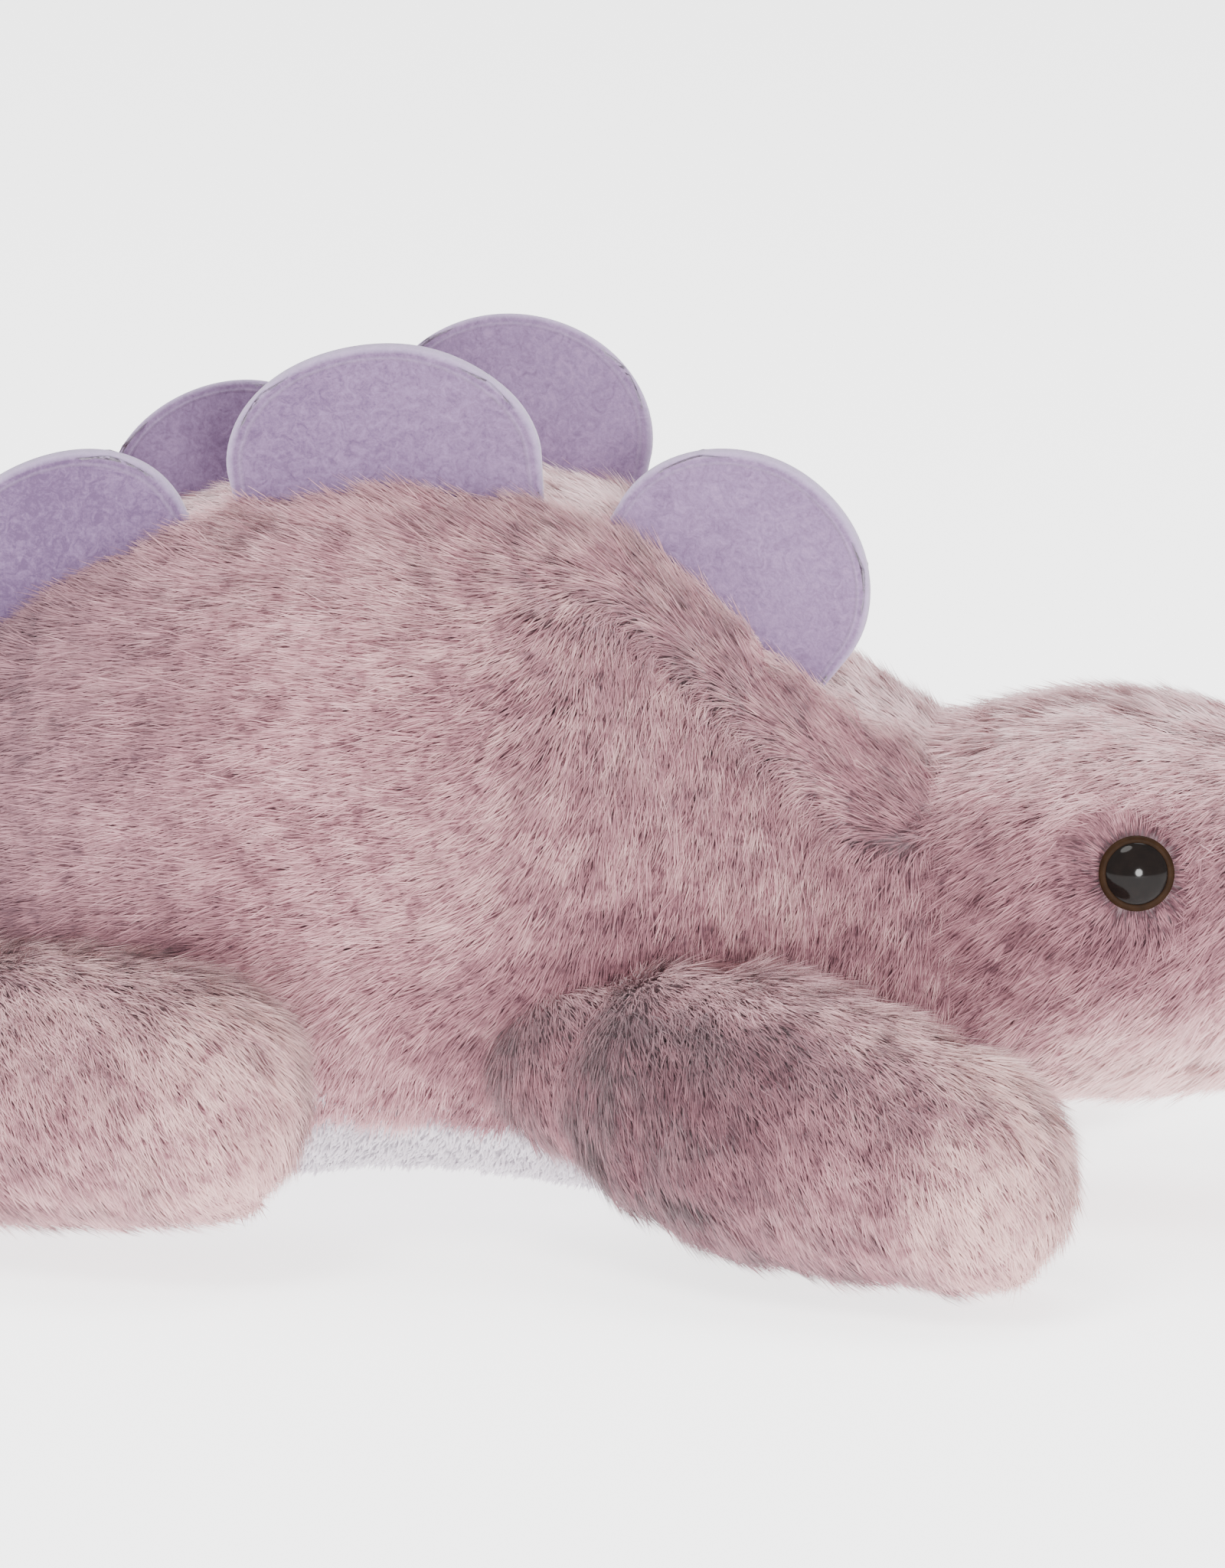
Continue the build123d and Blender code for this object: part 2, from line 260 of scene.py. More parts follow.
def ovalForm(stations, inset, rings, spokes, roundStart, roundEnd, lumps=0.0, floorGap=0.8):
    # a closed form through oval sections along X, rounded off over the given lengths at its ends, in millimetres
    rows = sorted(stations)
    first, last = rows[0][0], rows[-1][0]
    form = bmesh.new()
    bmesh.ops.create_uvsphere(form, u_segments=spokes, v_segments=rings, radius=1.0)
    for vertex in form.verts:
        pole = max(-1.0, min(1.0, vertex.co.z))
        around = math.atan2(vertex.co.y, vertex.co.x)
        x = first + (last - first) * (1.0 - math.cos(math.acos(-pole))) / 2.0
        low, high, half = smoothRow(stations, x)
        cap = 1.0
        if x - first < roundStart:
            cap = min(cap, math.sqrt(max(0.0, 1.0 - (1.0 - (x - first) / roundStart) ** 2)))
        if last - x < roundEnd:
            cap = min(cap, math.sqrt(max(0.0, 1.0 - (1.0 - (last - x) / roundEnd) ** 2)))
        middle = (low + high) / 2
        y = (half - inset) * cap * math.cos(around)
        z = middle + ((high - low) / 2 - inset) * cap * math.sin(around)
        place = Vector((x, y, z))
        if lumps:
            place += place.normalized() * lumps * noise.noise(place * 0.055)
        place.z = max(place.z, floorGap)
        vertex.co = place * mm
    bmesh.ops.remove_doubles(form, verts=form.verts, dist=1e-6)
    bmesh.ops.recalc_face_normals(form, faces=form.faces)
    return form


def limbForm(start, end, radii, inset, rings, spokes, floorGap=0.8):
    # a round limb from start to end with the given radii along it, in millimetres
    start, end = Vector(start), Vector(end)
    axis = (end - start).normalized()
    side = axis.cross(Vector((0, 0, 1))).normalized()
    up = side.cross(axis)
    length = (end - start).length
    count = len(radii) - 1
    form = bmesh.new()
    bmesh.ops.create_uvsphere(form, u_segments=spokes, v_segments=rings, radius=1.0)
    first, last = -radii[0], length + radii[-1]
    for vertex in form.verts:
        pole = max(-1.0, min(1.0, vertex.co.z))
        around = math.atan2(vertex.co.y, vertex.co.x)
        along = first + (last - first) * (1.0 + pole) / 2.0
        share = min(max(along / length, 0.0), 1.0) * count
        index = min(int(share), count - 1)
        blend = share - index
        blend = blend * blend * (3 - 2 * blend)
        radius = radii[index] * (1 - blend) + radii[index + 1] * blend
        cap = 1.0
        if along < 0:
            cap = math.sqrt(max(0.0, 1.0 - (along / radii[0]) ** 2))
        if along > length:
            cap = math.sqrt(max(0.0, 1.0 - ((along - length) / radii[-1]) ** 2))
        radius = (radius - inset) * cap
        place = start + axis * along + side * (radius * math.cos(around)) + up * (radius * math.sin(around))
        place.z = max(place.z, floorGap)
        vertex.co = place * mm
    bmesh.ops.remove_doubles(form, verts=form.verts, dist=1e-6)
    bmesh.ops.recalc_face_normals(form, faces=form.faces)
    return form


def toObject(form, name, material):
    mesh = bpy.data.meshes.new(name)
    form.to_mesh(mesh)
    form.free()
    for face in mesh.polygons:
        face.use_smooth = True
    thing = bpy.data.objects.new(name, mesh)
    bpy.context.collection.objects.link(thing)
    mesh.materials.append(material)
    return thing


# --- growing pile ---

pile = {"density": 8.6e6, "length": 7.0, "width": 0.185, "lift": 0.85, "flow": 0.95, "stray": 0.24, "floor": 0.25}


def strandSource():
    # one leaf-shaped fibre with a bend at its middle, its root at the origin and its tip leaning to +X
    form = bmesh.new()
    root = form.verts.new((0.0, 0.0, 0.0))
    left = form.verts.new((0.10, 0.5, 0.48))
    right = form.verts.new((0.10, -0.5, 0.48))
    tip = form.verts.new((0.40, 0.0, 0.92))
    form.faces.new((root, left, right))
    form.faces.new((left, tip, right))
    mesh = bpy.data.meshes.new("strand")
    form.to_mesh(mesh)
    form.free()
    for name, values in (("along", (0.0, 0.5, 0.5, 1.0)), ("across", (0.5, 0.0, 1.0, 0.5))):
        mesh.attributes.new(name, "FLOAT", "POINT")
        mesh.attributes[name].data.foreach_set("value", values)
    thing = bpy.data.objects.new("strand", mesh)
    bpy.context.collection.objects.link(thing)
    return thing


def pileTree(strand, seed, density, look):
    tree = bpy.data.node_groups.new("growPile", "GeometryNodeTree")
    tree.interface.new_socket("Geometry", in_out="INPUT", socket_type="NodeSocketGeometry")
    tree.interface.new_socket("Geometry", in_out="OUTPUT", socket_type="NodeSocketGeometry")
    graph = Graph(tree)
    base = graph.make("NodeGroupInput")
    points = graph.make("GeometryNodeDistributePointsOnFaces", {"distribute_method": "RANDOM"},
                        {"Mesh": base, "Density": density, "Seed": seed})
    normal = points.out("Normal")
    nap = graph.make("GeometryNodeInputNamedAttribute", {"data_type": "FLOAT_VECTOR"}, {"Name": "nap"})
    trim = graph.make("GeometryNodeInputNamedAttribute", {"data_type": "FLOAT"}, {"Name": "trim"})
    place = graph.make("GeometryNodeInputPosition")

    def vector(operation, first, second, scale=None):
        inputs = {0: first, 1: second} if scale is None else {0: first, "Scale": scale}
        return graph.make("ShaderNodeVectorMath", {"operation": operation}, inputs)

    def stir(scale, amount):
        field = graph.make("ShaderNodeTexNoise", None, {"Vector": place, "Scale": scale, "Detail": 1.0}, out="Color")
        return vector("SCALE", vector("SUBTRACT", field, (0.5, 0.5, 0.5)), None, amount)

    loose = graph.make("FunctionNodeRandomValue", {"data_type": "FLOAT_VECTOR"},
                       {0: (-1.0, -1.0, -1.0), 1: (1.0, 1.0, 1.0), "Seed": seed + 1})
    lean = vector("ADD", vector("SCALE", normal, None, look["lift"]), vector("SCALE", nap, None, look["flow"]))
    lean = vector("ADD", lean, stir(170.0, 5.0 * look["stray"]))
    lean = vector("ADD", lean, stir(480.0, 3.6 * look["stray"]))
    lean = vector("ADD", lean, vector("SCALE", loose, None, 0.8 * look["stray"]))
    towards = vector("ADD", nap, vector("SCALE", loose, None, 0.35))
    turn = graph.make("FunctionNodeAxesToRotation", {"primary_axis": "Z", "secondary_axis": "X"},
                      {"Primary Axis": lean, "Secondary Axis": towards})
    size = graph.make("FunctionNodeRandomValue", {"data_type": "FLOAT"}, {2: 0.72, 3: 1.12, "Seed": seed + 2}, out=1)
    tuft = graph.make("ShaderNodeTexNoise", None, {"Vector": place, "Scale": 150.0, "Detail": 1.0})
    length = size * trim * (0.75 + 0.5 * tuft) * (look["length"] * mm)
    thick = graph.make("FunctionNodeRandomValue", {"data_type": "FLOAT"}, {2: 0.7, 3: 1.3, "Seed": seed + 3}, out=1)
    scale = graph.make("ShaderNodeCombineXYZ", None, {0: length, 1: thick * (look["width"] * mm), 2: length})
    shade = graph.make("FunctionNodeRandomValue", {"data_type": "FLOAT"}, {2: 0.0, 3: 1.0, "Seed": seed + 4}, out=1)
    index = graph.make("GeometryNodeInputIndex")
    marked = graph.make("GeometryNodeStoreNamedAttribute", {"data_type": "FLOAT", "domain": "POINT"},
                        {"Geometry": points, "Name": "shade", "Value": shade})
    marked = graph.make("GeometryNodeStoreNamedAttribute", {"data_type": "FLOAT", "domain": "POINT"},
                        {"Geometry": marked, "Name": "cell", "Value": index})
    count = graph.make("GeometryNodeAttributeDomainSize", {"component": "POINTCLOUD"}, {"Geometry": points},
                       out="Point Count")
    cells = count.math("SQRT").math("CEIL")
    fibre = graph.make("GeometryNodeObjectInfo", {"transform_space": "ORIGINAL"}, {"Object": strand}, out="Geometry")
    placed = graph.make("GeometryNodeInstanceOnPoints", None,
                        {"Points": marked, "Instance": fibre, "Rotation": turn, "Scale": scale})
    real = graph.make("GeometryNodeRealizeInstances", None, {"Geometry": placed})
    sunk = (look["floor"] * mm - graph.make("ShaderNodeSeparateXYZ", None, {0: place}, out=2)).math("MAXIMUM", 0.0)
    pressed = graph.make("GeometryNodeSetPosition", None, {
        "Geometry": real, "Offset": graph.make("ShaderNodeCombineXYZ", None, {2: sunk})})

    def floatField(name):
        return graph.make("GeometryNodeInputNamedAttribute", {"data_type": "FLOAT"}, {"Name": name})

    # each fibre keeps its own small cell of the map, so that a bake keeps its own colours
    cell = floatField("cell")
    u = (cell.math("FLOORED_MODULO", cells) + 0.2 + 0.6 * floatField("along")) / cells
    v = ((cell / cells).math("FLOOR") + 0.2 + 0.6 * floatField("across")) / cells
    mapped = graph.make("GeometryNodeStoreNamedAttribute", {"data_type": "FLOAT2", "domain": "CORNER"}, {
        "Geometry": pressed, "Name": "OFBake", "Value": graph.make("ShaderNodeCombineXYZ", None, {0: u, 1: v})})
    tidy = graph.make("GeometryNodeRemoveAttribute", None, {"Geometry": mapped, "Name": "cell"})
    result = graph.tree.nodes.new("NodeGroupOutput")
    graph.tree.links.new(tidy.socket, result.inputs[0])
    return tree


def growPile(name, base, strand, material, seed, density, look):
    # grows fibres on base and returns them as a plain mesh object
    modifier = base.modifiers.new("pile", "NODES")
    modifier.node_group = pileTree(strand, seed, density, look)
    bpy.context.view_layer.update()
    evaluated = base.evaluated_get(bpy.context.evaluated_depsgraph_get())
    mesh = bpy.data.meshes.new_from_object(evaluated)
    base.modifiers.remove(modifier)
    mesh.name = name
    mesh.materials.clear()
    mesh.materials.append(material)
    fur = bpy.data.objects.new(name, mesh)
    bpy.context.collection.objects.link(fur)
    print(name, "triangles", len(mesh.polygons))
    return fur


def patchOf(skin, name, keep):
    # a copy of the skin's faces whose centres pass the test
    form = bmesh.new()
    form.from_mesh(skin.data)
    gone = [face for face in form.faces if not keep(face.calc_center_median() / mm)]
    bmesh.ops.delete(form, geom=gone, context="FACES")
    mesh = bpy.data.meshes.new(name)
    form.to_mesh(mesh)
    form.free()
    patch = bpy.data.objects.new(name, mesh)
    bpy.context.collection.objects.link(patch)
    return patch


def paintSkin(skin, rule):
    # nap direction, pile length, tone (which also carries painted shade and painted light) and warmth for every
    # vertex, from a rule on its place in millimetres
    mesh = skin.data
    naps, numbers = [], []
    for vertex in mesh.vertices:
        flow, *rest = rule(vertex.co / mm, vertex.normal)
        flow = flow - vertex.normal * flow.dot(vertex.normal)
        naps.extend(flow.normalized() if flow.length > 1e-6 else (-1.0, 0.0, 0.0))
        numbers.append(rest)
    mesh.attributes.new("nap", "FLOAT_VECTOR", "POINT")
    mesh.attributes["nap"].data.foreach_set("vector", naps)
    for name, column in zip(("trim", "tone", "warm"), zip(*numbers)):
        mesh.attributes.new(name, "FLOAT", "POINT")
        mesh.attributes[name].data.foreach_set("value", column)


def ease(value, low, high):
    share = min(max((value - low) / (high - low), 0.0), 1.0)
    return share * share * (3 - 2 * share)


# --- skins ---

# (x, low, high, half width) of each part's outside, in millimetres
torsoForm = {
    "stations": [(-104, 15.0, 40.0, 12.0), (-98, 9.0, 48.0, 18.8), (-90, 4.0, 57.0, 24.8),
                 (-80, 1.0, 65.5, 28.6), (-66, -4.0, 76.0, 35.0), (-48, -5.0, 89.0, 41.0), (-26, -2.0, 102.0, 44.5),
                 (0, 3.0, 110.3, 46.5), (24, 4.0, 112.0, 47.0), (46, 0.5, 107.5, 44.0),
                 (62, -4.0, 98.0, 38.5), (75, -2.0, 87.5, 33.5), (84, 6.0, 81.0, 30.0), (93, 12.5, 76.3, 27.8),
                 (101, 20.0, 70.5, 25.0), (107, 26.0, 65.0, 21.0)],
    "inset": 2.2, "rings": 104, "spokes": 124, "roundStart": 6.0, "roundEnd": 10.0, "lumps": 1.3}
headForm = {
    "stations": [(80, 26.0, 68.0, 20.0), (91, 20.5, 73.5, 25.2), (100, 18.5, 76.0, 28.0), (112, 17.5, 78.5, 31.0),
                 (128, 18.0, 78.5, 31.5), (142, 20.5, 75.5, 28.5), (152, 25.5, 68.5, 24.0), (163.5, 32.0, 60.0, 17.0)],
    "inset": 2.2, "rings": 80, "spokes": 110, "roundStart": 8.0, "roundEnd": 11.0, "lumps": 0.8}
tailForm = {
    "stations": [(-74, 8.0, 54.0, 20.0), (-88, 2.0, 56.5, 24.6), (-96, 1.0, 53.0, 24.2), (-108, -1.0, 44.0, 20.0),
                 (-120, -1.0, 36.0, 16.5), (-130, 0.0, 31.0, 14.2)],
    "inset": 2.2, "rings": 50, "spokes": 80, "roundStart": 8.0, "roundEnd": 7.0, "lumps": 0.5}
tailTipForm = {
    "stations": [(-120, 0.0, 34.0, 15.0), (-132, -1.0, 29.5, 14.0), (-142, -1.0, 24.5, 11.0),
                 (-153, -0.5, 19.0, 8.0), (-163, 1.0, 15.0, 6.0)],
    "inset": 2.0, "rings": 50, "spokes": 70, "roundStart": 6.0, "roundEnd": 7.0, "lumps": 0.3}
legForms = {
    "leg_front": {"start": (46.5, -38.5, 28.5), "end": (99.5, -62.8, 20.2), "radii": [14.0, 19.4, 21.8, 20.4, 18.2]},
    "leg_hind": {"start": (-56.0, -39.0, 26.0), "end": (-15.0, -52.6, 26.0), "radii": [18.5, 20.4, 21.4, 20.8, 19.6]},
}


legRadius = 18.0


def eyeSpot(y):
    # middle of the eye on the side that y is on, at the skin
    return Vector((125.8, math.copysign(28.6, y), 57.2))


def limbDistance(place, start, end):
    # how far a place is from the limb's middle line, and its share along it
    start, end = Vector(start), Vector(end)
    line = end - start
    share = min(max((place - start).dot(line) / line.length_squared, 0.0), 1.0)
    return (place - start - line * share).length, share


def legClear(place):
    # distance from the nearest leg's surface, for either side
    mirrored = Vector((place.x, -abs(place.y), place.z))
    return min(limbDistance(mirrored, leg["start"], leg["end"])[0] for leg in legForms.values()) - legRadius


def paintTorso(place, normal):
    x, y, z = place
    spine = 1.0 - ease(abs(y), 9.0, 16.0) if z > 50 else 0.0
    # shade is painted shade: the fur is darker close to each leg, in the crease where the leg is sewn to the body
    shade = 1.0 - ease(legClear(place), 0.0, 13.0)
    # neck is painted shade: the fur is darker towards the neck, where the head meets the body
    neck = ease(x, 70.0, 92.0)
    tone = 0.44 - 0.34 * ease(-x, 0.0, 45.0) - 0.16 * ease(x, 14.0, 60.0) + 0.04 * ease(z, 80.0, 104.0)
    tone += 0.90 * spine - 0.22 * shade * (1.0 - spine) - 0.06 * neck
    tone += 0.08 * noise.noise(place * 0.045 + Vector((3.0, 0.0, 7.0)))
    warm = 0.36 + 0.40 * ease(x, -40.0, 50.0) - 0.20 * spine
    rows = ease(abs(y), 11.0, 14.0) * (1.0 - ease(abs(y), 19.0, 30.0)) if z > 60 else 0.0
    trim = 1.0 - 0.2 * spine + 0.22 * rows
    down = max(ease(x, 18.0, 52.0), 1.0 - ease(z, 24.0, 52.0)) * (1.0 - spine)
    flow = Vector((-1.0, 0.0, -0.14)).lerp(Vector((-0.3, 0.0, -0.95)), down * ease(x, -84.0, -50.0))
    flow = flow.lerp(Vector((-0.5, 0.0, 0.7)), 0.75 * rows)
    return flow, trim, tone, warm


def paintHead(place, normal):
    x, y, z = place
    apart = place - eyeSpot(y)
    near = 1.0 - ease(apart.length, 5.5, 13.0)
    top = ease(z, 56.0, 80.0)
    # neck is painted shade: the back of the head is darker where it meets the body
    neck = 1.0 - ease(x, 96.0, 112.0)
    tone = 0.20 + 0.92 * top + 0.12 * ease(x, 130.0, 155.0) - 0.06 * neck * (1.0 - 0.6 * top) - 0.10 * near
    tone += 0.80 * (1.0 - ease(z, 24.0, 50.0)) * ease(x, 104.0, 125.0)
    warm = 0.62 - 0.15 * top + 0.15 * (1.0 - ease(z, 22.0, 44.0))
    mouth = 1.0 - ease((place - Vector((159.0, 0.0, 46.0))).length, 8.0, 18.0)
    trim = (1.0 - 0.45 * near) * (1.0 - 0.68 * mouth)
    flow = Vector((-0.75, 0.0, -0.66)).lerp(apart.normalized(), near)
    return flow, trim, tone, warm


def paintTail(place, normal):
    x, _, z = place
    top = ease(z / max(1.0, 54.0 + (x + 96.0) * 0.6), 0.75, 1.0)
    tone = 0.47 + 0.22 * top - 0.12 * (1.0 - ease(-x, 84.0, 96.0))
    trim = 0.92 - 0.25 * ease(-x, 118.0, 150.0)
    return Vector((-1.0, 0.0, -0.25)), trim, tone, 0.42 + 0.1 * top


def paintLeg(name, leg, side):
    start, end = Vector(leg["start"]), Vector(leg["end"])
    start.y, end.y = -side * start.y, -side * end.y
    line = (end - start).normalized()

    def rule(place, normal):
        share = limbDistance(place, start, end)[1]
        past = ease((place - end).dot(line), -6.0, 14.0)
        if name.startswith("leg_front"):
            # painted light: fur facing up is paler, as if lit from above; painted shade: a darker band along the leg's
            # sides near the body
            litTop = ease(normal.z, 0.74, 0.98)
            shadedBand = ease(share, 0.0, 0.15) * (1.0 - ease(share, 0.45, 0.75)) * (1.0 - litTop)
            tone = 0.12 + 0.12 * ease(share, 0.55, 0.95) + 0.42 * past + 0.50 * litTop - 0.20 * shadedBand
            tone += 0.10 * noise.noise(place * 0.08)
            warm = 0.56 + 0.18 * ease(share, 0.35, 0.9) + 0.12 * past
        else:
            # the normal.z term is painted light: fur facing up is paler, as if lit from above
            tone = 0.40 + 0.06 * ease(share, 0.2, 0.8) + 0.10 * past + 0.08 * max(normal.z, 0.0)
            tone += 0.10 * noise.noise(place * 0.07)
            warm = 0.72 + 0.10 * past
        flow = line * 0.55 + Vector((0.0, 0.0, -0.8))
        return flow, 1.0, tone, warm

    return rule


def makeSkins():
    # every stuffed part's cover, with how its fur lies, the bodies listed for it (parented only when there is one) and
    # the CAD covers it stands for
    skins = []

    def add(name, form, rule, stuffed, bodies, nodes):
        skin = toObject(form, name, backing)
        paintSkin(skin, rule)
        skins.append({"skin": skin, "bodies": bodies, "fill": stuffed, "nodes": nodes})
        return skin

    add("torsoSkin", ovalForm(**torsoForm), paintTorso, 0.85, ("torso", "neck", 80.0, 102.0),
        ("torso_panel_right", "torso_panel_left", "spine_strip"))
    add("headSkin", ovalForm(**headForm), paintHead, 0.9, ("neck", "head", 90.0, 108.0),
        ("head_panel_right", "head_panel_left", "head_strip"))
    add("tailSkin", ovalForm(**tailForm), paintTail, 0.8, ("torso", "tail", -78.0, -98.0),
        ("tail_panel_right", "tail_panel_left"))
    add("tailTipSkin", ovalForm(**tailTipForm), paintTail, 0.8, ("tail", "tail_tip", -118.0, -134.0),
        ("tail_tip_panel_right", "tail_tip_panel_left"))
    for name, leg in legForms.items():
        for sideName, side in (("right", -1), ("left", 1)):
            form = limbForm(leg["start"], leg["end"], leg["radii"], 2.2, 64, 80)
            for vertex in form.verts:
                vertex.co += vertex.co.normalized() * 0.7 * mm * noise.noise(vertex.co * 60.0 + Vector((side, 0, 0)))
                vertex.co.z = max(vertex.co.z, 0.8 * mm)
            if side > 0:
                for vertex in form.verts:
                    vertex.co.y = -vertex.co.y
                bmesh.ops.reverse_faces(form, faces=form.faces)
            body = f"{name}_{sideName}"
            label = {"leg_front": "frontLeg", "leg_hind": "hindLeg"}[name] + sideName.capitalize() + "Skin"
            add(label, form, paintLeg(name, leg, side), 0.75, (body,),
                (f"{body}_outer_panel", f"{body}_inner_panel"))
    return skins


def follow(piece, bodies):
    if len(bodies) == 1:
        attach(piece, bodies[0])
    else:
        first, second, start, end = bodies
        start * mm
        end * mm
        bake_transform(piece)


def insideTorso(place, depth):
    low, high, half = smoothRow(torsoForm["stations"], place.x)
    if not -90 < place.x < 94:
        return False
    across = place.y / (half - depth)
    up = (place.z - (low + high) / 2) / ((high - low) / 2 - depth)
    return across * across + up * up < 1.0


# name, skin, lowest x, highest x, side (0 for both), bodies listed for it (parented only when there is one)
furPatches = [
    ("torsoFurRightRear", "torsoSkin", -96, -34, -1, ("torso",)),
    ("torsoFurRightMiddle", "torsoSkin", -34, 14, -1, ("torso",)),
    ("torsoFurRightFront", "torsoSkin", 14, 60, -1, ("torso",)),
    ("torsoFurLeftRear", "torsoSkin", -96, -34, 1, ("torso",)),
    ("torsoFurLeftMiddle", "torsoSkin", -34, 14, 1, ("torso",)),
    ("torsoFurLeftFront", "torsoSkin", 14, 60, 1, ("torso",)),
    ("neckFur", "torsoSkin", 60, 101, 0, ("torso", "neck", 80.0, 102.0)),
    ("headFurRight", "headSkin", 95, 166, -1, ("neck", "head", 90.0, 108.0)),
    ("headFurLeft", "headSkin", 95, 166, 1, ("neck", "head", 90.0, 108.0)),
    ("tailFur", "tailSkin", -127, -86, 0, ("torso", "tail", -78.0, -98.0)),
    ("tailTipFur", "tailTipSkin", -166, -121, 0, ("tail", "tail_tip", -118.0, -134.0)),
    ("frontLegRightFur", "frontLegRightSkin", 20, 130, 0, ("leg_front_right",)),
    ("frontLegLeftFur", "frontLegLeftSkin", 20, 130, 0, ("leg_front_left",)),
    ("hindLegRightFur", "hindLegRightSkin", -90, 20, 0, ("leg_hind_right",)),
    ("hindLegLeftFur", "hindLegLeftSkin", -90, 20, 0, ("leg_hind_left",)),
]


belly = {"top": 21.0, "proud": 0.5, "density": 2.3e6, "length": 2.1, "width": 0.40, "lift": 1.0,
         "flow": 0.5, "stray": 0.45, "floor": 0.15}


def bellyLine(x):
    # how high the pale belly panel reaches on the sides
    return 2.0 + (belly["top"] - 2.5) * ease(84.0 - abs(x), 0.0, 22.0)


eyeHole = 4.6
legRoots = {"front": ((46.0, 39.0, 28.0), 19.0), "hind": ((-56.0, 39.0, 28.0), 22.0)}


def furHere(skinName, place, low, high, side):
    # whether fur grows at a place: not under a leg's root, an eye or the belly cloth
    x, y, z = place
    if not low <= x < high or y * side < 0:
        return False
    if skinName == "torsoSkin":
        return legClear(place) > -6.0 and z > bellyLine(x)
    if skinName == "headSkin":
        return (place - eyeSpot(y)).length > eyeHole
    if "Leg" in skinName:
        middle, radius = legRoots["front" if "front" in skinName else "hind"]
        root = Vector((middle[0], math.copysign(middle[1], y), middle[2]))
        return not (insideTorso(place, 5.0) and (place - root).length < radius) and z > 1.0
    return z > 1.2


def makeFur(skins):
    strand = strandSource()
    byName = {entry["skin"].name: entry["skin"] for entry in skins}
    for seed, (name, skinName, low, high, side, bodies) in enumerate(furPatches):
        patch = patchOf(byName[skinName], name + "Base", lambda place: furHere(skinName, place, low, high, side))
        share = 0.84 if "Leg" in name or "tail" in name else 1.0
        fur = growPile(name, patch, strand, furFinish, 20 * seed + 3, pile["density"] * share, pile)
        bpy.data.objects.remove(patch)
        follow(fur, bodies)
    bpy.data.objects.remove(strand)


# --- belly ---

def plushMaterial():
    material, graph, shader = newMaterial("bellyPlush", Roughness=0.8, Sheen_Weight=0.3, Sheen_Roughness=0.5)
    place = graph.objectPlace()
    level = (graph.attribute("along") * 0.7 + graph.noise(place, 160.0, 2.0) * 0.6 - 0.15).clamp()
    feed(graph, shader, "Base Color", graph.mix(level, (0.34, 0.29, 0.34, 1.0), (0.80, 0.74, 0.80, 1.0)))
    return material


def makeBelly(torsoSkin):
    finish = plushMaterial()
    panel = patchOf(torsoSkin, "bellyPlush", lambda place: place.z < bellyLine(place.x) + 2.5 and abs(place.x) < 84)
    for vertex, normal in zip(panel.data.vertices, [item.normal.copy() for item in panel.data.vertices]):
        vertex.co += normal * belly["proud"] * mm
        vertex.co.z = max(vertex.co.z, 0.5 * mm)
    panel.data.materials.clear()
    panel.data.materials.append(finish)
    strand = strandSource()
    fur = growPile("bellyPile", panel, strand, finish, 811, belly["density"], belly)
    bpy.data.objects.remove(strand)
    for piece in (panel, fur):
        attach(piece, "torso")
    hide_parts("belly_panel")


# --- felt plates ---

plates = {
    "thick": 2.5, "reach": 3.6, "lean": 15.0, "cells": (40, 24), "rise": 0.28, "tall": 0.72, "seam": 1.6,
    # name: (hinge x, y, z), (axis x, z), length, height, curl, body is the name itself
    "list": {
        "plate_right_1": ((61.5, -12.5, 92.12), (0.827, -0.5621), 41.0, 27.0, 1.4),
        "plate_right_2": ((13.4, -12.5, 107.55), (0.9965, 0.0837), 47.0, 25.5, 1.8),
        "plate_right_3": ((-32.5, -12.5, 92.82), (0.8798, 0.4753), 40.0, 23.0, -1.3),
        "plate_right_4": ((-66.0, -12.5, 71.43), (0.8218, 0.5698), 27.0, 18.0, 0.8),
        "plate_right_5": ((-111.0, -12.5, 36.64), (0.824, 0.5665), 16.0, 11.0, 0.3),
        "plate_left_1": ((28.0, 12.5, 107.19), (0.9921, -0.1254), 42.0, 25.0, 1.5),
        "plate_left_2": ((-13.0, 12.5, 101.25), (0.9365, 0.3507), 37.0, 20.0, -1.2),
        "plate_left_3": ((-47.0, 12.5, 84.46), (0.8552, 0.5183), 34.0, 21.0, 1.0),
        "plate_left_4": ((-104.0, 12.5, 42.36), (0.8053, 0.5928), 21.0, 14.0, 0.5),
    },
}


def feltMaterial():
    material, graph, shader = newMaterial("lilacFelt", Roughness=0.92, Sheen_Weight=0.35, Sheen_Roughness=0.4)
    place = graph.objectPlace()
    fine = graph.noise(place, 2600.0, 3.0, 0.7)
    fuzz = graph.noise(place, 520.0, 3.0, 0.65, 1.6)
    cloud = graph.noise(place, 60.0, 1.0)
    edge = graph.attribute("edge")
    # seam is partly real: the bump draws the seam's groove, and its paler tint is a painted highlight along the seam
    seam = (1.0 - (edge - plates["seam"]).math("ABSOLUTE") * 2.6).clamp()
    # rim is a painted highlight: the felt is paler towards each plate's edge, where its fuzzy edge catches the light
    rim = (1.0 - edge * 1.1).clamp()
    # painted light and shade: the felt is paler towards the front (+X) and on the far row (+Y), and darker towards the
    # rear
    across = graph.make("ShaderNodeSeparateXYZ", None, {"Vector": place}, out="Y")
    paintedLightForward = graph.make("ShaderNodeSeparateXYZ", None, {"Vector": place}, out="X").math("MAXIMUM", -0.04)
    level = (fine * 0.9 + fuzz * 1.5 + cloud * 0.4 + paintedLightForward * 4.15 + across * 6.5 - 0.96).clamp()
    body = graph.mix(level, (0.105, 0.058, 0.132, 1.0), (0.262, 0.168, 0.312, 1.0))
    body = graph.mix(seam * 0.16, body, (0.50, 0.40, 0.58, 1.0))
    feed(graph, shader, "Base Color", graph.mix(rim * 0.5, body, (0.58, 0.48, 0.70, 1.0)))
    height = fine * 0.35 + fuzz * 0.5 - seam * 0.7
    bumpFrom(graph, shader, height, 0.7, 0.0005)
    return material


